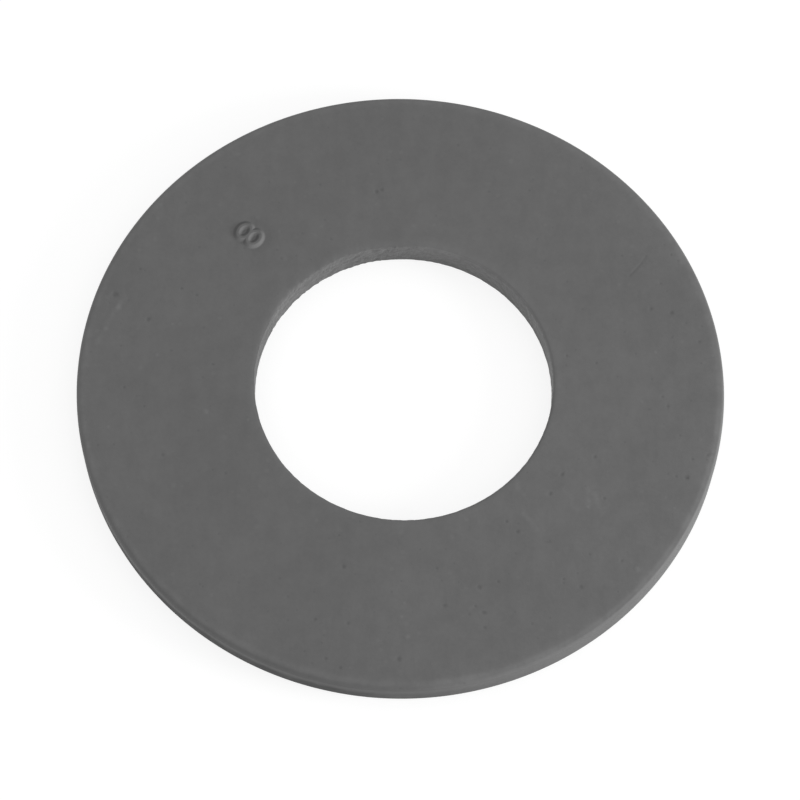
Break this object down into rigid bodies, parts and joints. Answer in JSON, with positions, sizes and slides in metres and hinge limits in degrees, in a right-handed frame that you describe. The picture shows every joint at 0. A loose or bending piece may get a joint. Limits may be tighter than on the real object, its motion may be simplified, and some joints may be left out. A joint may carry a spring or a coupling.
{
  "type": "flush valve seal",
  "caption": "Flat round rubber sealing washer with a wide central bore, rounded edges and a small raised digit on its upper face, for closing a cistern flush valve.",
  "frame": {"origin": "on the ring's axis, in the plane of its lower face", "axes": "+Z along the ring's axis, out of the upper face that carries the digit; the digit lies midway between -X and +Y"},
  "size_m": [0.063, 0.063, 0.0032],
  "materials": {
    "rubber": "matte moulded grey rubber, finely mottled, with a few small pits and scuffs"
  },
  "bodies": {
    "root": {"sealing_ring": "rubber"}
  },
  "joints": []
}
